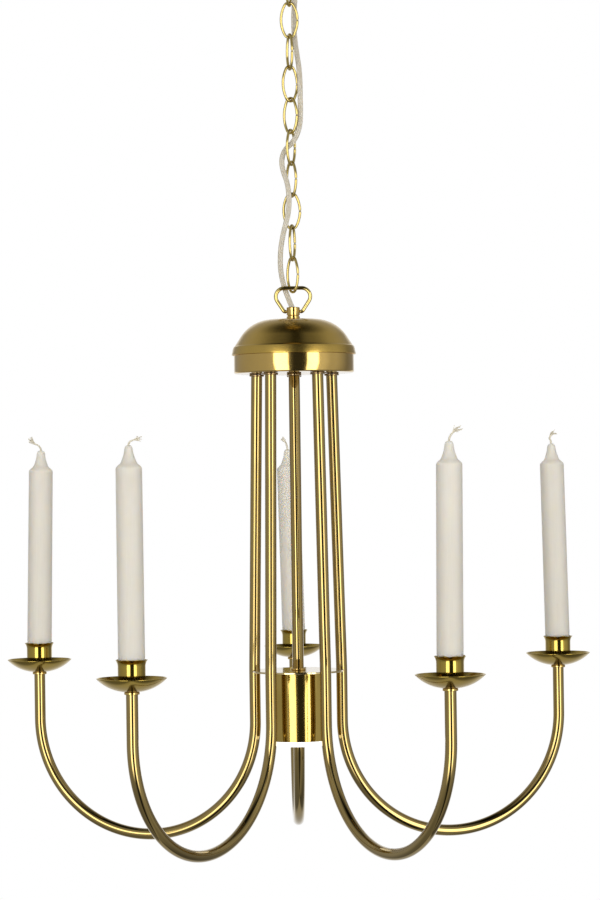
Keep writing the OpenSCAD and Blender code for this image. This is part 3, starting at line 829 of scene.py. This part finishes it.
spacer_disc()
spun("downlight_shell", housing_section(), satin_shell, "chandelier", ["downlight_housing"],
     (0, 0, CAP_Z), 160)
spun("diffuser_glass", diffuser_section(), opal, "diffuser", ["diffuser"], (0, 0, CAP_Z), 128)


# ---------------------------------------------------------------- pans, cups, candles and wicks
CUP_T = 0.6
SCREW_BORE = 2.6


def pan_section():
    """A shallow bowl: one arc from the rim to a small flat middle with a screw hole."""
    r, curve, flat = 29.0, 36.0, 3.0
    end = math.degrees(math.asin((r - flat) / curve))
    pts = arc(flat, curve, curve, -90 + end, -90, 40) + [(SCREW_BORE, 0)]
    return sheet(pts, SHEET_T, 0.45)


def cup_section():
    """A straight cup with a round foot, whose rim flares outwards."""
    r, h, flare, turn, foot = 11.35, 24.7, 1.8, 37, 2.0
    flare_r = flare / (1 - math.cos(math.radians(turn)))
    pts = arc(r + flare_r, h - flare_r * math.sin(math.radians(turn)), flare_r, 180 - turn, 180, 12)
    pts += arc(r - foot, foot, foot, 0, -90, 8) + [(SCREW_BORE, 0)]
    return sheet(pts, CUP_T, 0.45)


def cup_wave(seed):
    """The upper 4 mm of each cup, bent a little uneven by hand."""
    rnd = random.Random(seed)
    terms = [(rnd.choice((5, 7, 8, 11)), rnd.uniform(0, 6.28), rnd.uniform(0.10, 0.2)) for _ in range(3)]

    def wave(r, z, t):
        f = max(0.0, min(1.0, (z - 20.5) / 4.2)) ** 2
        d = sum(a * math.sin(n * t + p) for n, p, a in terms)
        return r + 0.5 * d * f, z + 0.8 * d * f

    return wave


CANDLE_LEAN = [-1.1, -1.2, 1.2, 0, 0.5]
CANDLE_LENGTH, CANDLE_R = 196.0, 11.0
# a candle stands on the screw's head in the cup, and leans about a point above its foot
SCREW_HEAD, CANDLE_PLAY, LEAN_PIVOT = 2.4, 0.5, 9.0


def candle_section():
    """A tapered foot inside the cup, a nearly straight side, and a stepped, rounded tip."""
    r, end = CANDLE_R, CANDLE_LENGTH
    pts = [(0, 0), (9.6, 0), (10, 0.6), (10.3, 12), (10.35, 18), (10.75, 21.5), (r, 23.5),
           (r - 0.06, 60), (r - 0.13, 110), (r - 0.25, end - 18.9), (10.2, end - 17.8),
           (8.6, end - 16.2), (7.2, end - 15.1), (6.3, end - 13.6), (5.2, end - 10.6),
           (4.3, end - 7.9), (3.8, end - 5.4), (3.55, end - 3), (3.0, end - 1.3), (2.0, end - 0.3),
           (0.9, end), (0, end)]
    radii = [0, 0.5, 0.3, 2, 3, 4, 2, 0, 0, 3, 1.5, 3, 2.5, 4, 6, 6, 4, 2, 1.5, 1, 0.4, 0]
    return rounded(pts, radii, 5)


def wax_wave(seed):
    """Candles are cast a little uneven, and the tip is trimmed by hand."""
    rnd = random.Random(seed)
    a, b = rnd.uniform(0, 6.28), rnd.uniform(0, 6.28)

    def wave(r, z, t):
        d = 0.05 * math.sin(2 * t + a) + 0.04 * math.sin(3 * t + b + z * 0.02)
        tip = max(0.0, min(1.0, (z - 176) / 16))
        d += tip * 0.22 * math.sin(2 * t + b + z * 0.15)
        return r + d * min(1.0, r / 4), z

    return wave


# spine of each wick above its wax tip, how far its loose threads splay, and how many there are
WICKS = {
    1: ([(0, 0, 0), (-0.3, 0, 2.4), (-1.2, 0.4, 4.8), (0.6, 0.2, 7.6), (3.0, -0.4, 9.4)], 2.8, 15),
    2: ([(0, 0, 0), (-0.4, 0.2, 3), (-1.2, 0.2, 6), (-3.2, -0.2, 8.6), (-4.0, 0, 9.8)], 2.2, 12),
    3: ([(0, 0, 0), (-0.6, 0, 2.2), (-2.6, 0.3, 4.6), (-6.0, 0, 6.0), (-10.0, -0.4, 9.4)], 2.6, 16),
    4: ([(0, 0, 0), (0.4, 0, 1.8), (2.4, 0, 3.6), (5.6, 0.2, 4.4), (9.0, 0, 4.8)], 2.4, 16),
    5: ([(0, 0, 0), (0.4, 0, 2.4), (1.8, 0, 5.0), (4.6, 0, 8.0), (8.0, 0.2, 9.0)], 3.6, 18),
}


def wick(k, place):
    """A plaited core of three strands, frayed at its cut end into loose threads."""
    spine, splay, threads = WICKS[k]
    strand_r, thread_r, sides = 0.56, 0.31, 6
    rnd = random.Random(70 + k)
    stem = smooth_path(np.array([(0, 0, -3)] + spine, float), 0.35)
    n = len(stem)
    verts, faces, uvs = [], [], []

    def strand(pts, radii):
        base, rows = len(verts), len(pts)
        for p, r, (u, w) in zip(pts, radii, frames(pts, (0, 1, 0.05))):
            verts.extend(p + (u * a + w * b) * r for a, b in circle(1, sides))
        side_faces, side_uvs = tube_faces(rows, sides, [i / 20 for i in range(rows)], base)
        end, end_uv = end_face(base + (rows - 1) * sides, sides, (1, 0.5))
        faces.extend(side_faces + [end])
        uvs.extend(side_uvs + [end_uv])

    for s in range(3):
        turns = [TAU * (s / 3 + i / 9.0) for i in range(n)]
        pts = [stem[i] + 0.42 * np.array([math.cos(a), math.sin(a), 0]) for i, a in enumerate(turns)]
        strand(np.array(pts), [strand_r] * (n - 2) + [0.45, 0.25])
    for s in range(threads):
        start = int(n * rnd.uniform(0.45, 0.85))
        way = np.array([rnd.uniform(-1, 1), rnd.uniform(-0.8, 0.8), rnd.uniform(-0.7, 1.1)])
        pts = []
        for i in range(10):
            f = i / 9
            j = min(n - 1, int(start + f * (n - 1 - start)))
            wobble = np.array([math.sin(f * 5 + s), math.cos(f * 4 + s * 2), math.sin(f * 6 + s * 3)])
            pts.append(stem[j] + way * splay * f ** 1.4 + wobble * 0.3 * f)
        line = smooth_path(pts, 0.5)
        strand(line, [thread_r] * len(line))
    m = np.array(place)
    verts = np.array(verts) * MM @ m[:3, :3].T + m[:3, 3]
    add_mesh(f"wick_{k}", verts, faces, uvs, wick_mat, f"candle_{k}", [f"candle_{k}"], 80)


def make_candle(k):
    """Arm k's drip pan, cup, candle and wick."""
    pan = mid(f"drip_pan_{k}")
    cup_z = low(f"candle_cup_{k}")
    spun(f"drip_pan_{k}_spun", pan_section(), satin_pan, "chandelier", [f"drip_pan_{k}"],
         (pan.x, pan.y, PAN_Z[k - 1]), 128)
    spun(f"candle_cup_{k}_spun", cup_section(), satin_cup, "chandelier", [f"candle_cup_{k}"],
         (pan.x, pan.y, cup_z), 144, None, cup_wave(k))
    tilt = Matrix.Rotation(math.radians(CANDLE_LEAN[k - 1]), 3, "Y")
    foot = Vector((pan.x, pan.y, cup_z + (CUP_T + SCREW_HEAD + CANDLE_PLAY) * MM))
    pivot = Vector((0, 0, LEAN_PIVOT * MM))
    at = foot + pivot - tilt @ pivot
    spun(f"candle_{k}_wax", candle_section(), wax, f"candle_{k}", [f"candle_{k}"], at, 96, tilt,
         wax_wave(k), 50)
    tip = Matrix.Translation((0, 0, CANDLE_LENGTH * MM))
    wick(k, Matrix.Translation(at) @ tilt.to_4x4() @ tip)


for k in range(1, ARMS + 1):
    make_candle(k)

# ---------------------------------------------------------------- CAD nodes that stay as they are
KEPT = {
    "ceiling_bar": zinc, "ceiling_nipple": turned, "terminal_block": terminal_mat,
    "cap_nipple": turned, "stem_nuts": zinc, "inner_lead": lead_mat, "lampholder": ceramic_mat,
    "lamp": opal, "arm_studs": zinc, "arm_nuts": zinc, "arm_plugs": turned, "cup_screws": zinc,
}
for node, material in KEPT.items():
    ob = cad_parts[node]
    ob.data.materials.clear()
    ob.data.materials.append(material)

# ---------------------------------------------------------------- floor and studio light
FLOOR_HALF, FLOOR_Z = 4, -2.4


def make_floor():
    me = bpy.data.meshes.new("floor")
    corners = [(-1, -1), (1, -1), (1, 1), (-1, 1)]
    me.from_pydata([(x * FLOOR_HALF, y * FLOOR_HALF, FLOOR_Z) for x, y in corners], [], [(0, 1, 2, 3)])
    me.materials.append(plastic("floor_paint", (0.86, 0.86, 0.85), (0.88, 0.88, 0.87), 0.8, 3, 0.02))
    floor = bpy.data.objects.new("floor", me)
    scene.collection.objects.link(floor)
    floor.visible_glossy = False


make_floor()

# brightness of the room by the angle round the object: the front is 0, and +X is at 90 degrees
ROOM = [(-180, 0.9), (-166, 0.85), (-152, 0.30), (-138, 0.33), (-104, 0.38), (-80, 0.41),
        (-55, 0.46), (-44, 0.52), (-12, 0.30), (-5, 0.08), (0, 0.03), (18, 0.03), (25, 0.10),
        (52, 0.74), (60, 0.70), (68, 0.60), (76, 0.48), (90, 0.48), (98, 0.42), (110, 0.32),
        (124, 0.20), (152, 0.26), (166, 0.85), (180, 0.9)]
STRIP_LIGHT, BACKGROUND = 3.2, 1.0


def studio_world():
    """A pale room with two lit strips, for the brass to mirror. The camera sees it plain white."""
    world = bpy.data.worlds.new("studio")
    scene.world = world
    world.use_nodes = True
    nt = world.node_tree
    back = nt.nodes["Background"]
    tc = nt.nodes.new("ShaderNodeTexCoord")
    sep = nt.nodes.new("ShaderNodeSeparateXYZ")
    link(nt, tc.outputs["Generated"], sep.inputs[0])
    lp = nt.nodes.new("ShaderNodeLightPath")

    def maths(op, *values):
        n = nt.nodes.new("ShaderNodeMath")
        n.operation = op
        for i, v in enumerate(values):
            if hasattr(v, "is_linked"):
                link(nt, v, n.inputs[i])
            else:
                n.inputs[i].default_value = v
        return n.outputs[0]

    def step(v, lo, hi):
        m = nt.nodes.new("ShaderNodeMapRange")
        m.interpolation_type = "SMOOTHSTEP"
        link(nt, v, m.inputs["Value"])
        m.inputs["From Min"].default_value = lo
        m.inputs["From Max"].default_value = hi
        return m.outputs["Result"]

    def between(v, a, b, c, d):
        """Rises from a to b and falls from c to d."""
        return maths("MULTIPLY", step(v, a, b), maths("SUBTRACT", 1, step(v, c, d)))

    def less(amount, share):
        """One less a share of an amount."""
        return maths("SUBTRACT", 1, maths("MULTIPLY", amount, share))

    # degrees round the object from the front; the strips lean inwards at the bottom
    level = sep.outputs["Z"]
    across = maths("ARCTAN2", sep.outputs["X"], maths("MULTIPLY", sep.outputs["Y"], -1))
    turn = maths("MULTIPLY", across, 57.2958)
    narrow = maths("SUBTRACT", 1.1, maths("MULTIPLY", step(level, -0.06, 0.03), 0.1))
    angle = maths("MULTIPLY", turn, narrow)
    place = maths("ADD", maths("MULTIPLY", angle, 1 / 360), 0.5)
    room = ramp(nt, place, [((a + 180) / 360, (v, v, v)) for a, v in ROOM])
    # an even grey high up to both sides, dark straight overhead, and a darker lower half
    above = maths("MULTIPLY", step(level, 0.25, 0.6), step(maths("ABSOLUTE", angle), 25, 75))
    room = maths("ADD", room, maths("MULTIPLY", above, maths("SUBTRACT", 0.37, room)))
    overhead = maths("SUBTRACT", 1, step(level, 0.68, 1.02))
    lower = less(maths("SUBTRACT", 1, step(level, -0.75, -0.12)), 0.5)
    room = maths("MULTIPLY", room, maths("MULTIPLY", overhead, lower))
    # the strips; second reflections, from tube to housing, get less of them
    both = maths("ADD", between(angle, -41, -37, -13, -9), between(angle, 24, 28, 46, 51))
    tall = between(level, -0.6, -0.35, 0.30, 0.42)
    strips = maths("MULTIPLY", maths("MULTIPLY", both, tall), STRIP_LIGHT)
    first = less(maths("GREATER_THAN", lp.outputs["Ray Depth"], 2.5), 0.8)
    lit = maths("ADD", room, maths("MULTIPLY", strips, first))
    mix = nt.nodes.new("ShaderNodeMix")
    mix.data_type = "FLOAT"
    link(nt, lp.outputs["Is Camera Ray"], mix.inputs["Factor"])
    link(nt, lit, mix.inputs[2])
    mix.inputs[3].default_value = BACKGROUND
    back.inputs["Color"].default_value = (1, 1, 1, 1)
    link(nt, mix.outputs[0], back.inputs["Strength"])


def soft_light(name, place, target, size, energy):
    """A big soft light for the matt pieces. The brass doesn't mirror it."""
    data = bpy.data.lights.new(name, "AREA")
    data.shape = "RECTANGLE"
    data.size, data.size_y = size
    data.energy = energy
    ob = bpy.data.objects.new(name, data)
    ob.location = place
    ob.rotation_euler = (Vector(target) - Vector(place)).to_track_quat("-Z", "Y").to_euler()
    scene.collection.objects.link(ob)
    ob.visible_glossy = False
    ob.visible_camera = False


studio_world()
soft_light("front_soft", (0.3, -3.6, -0.3), (0, 0, -0.6), (3.2, 2.6), 26)
soft_light("top_soft", (0, 0.4, 2.0), (0, 0, -0.6), (3.0, 3.0), 30)
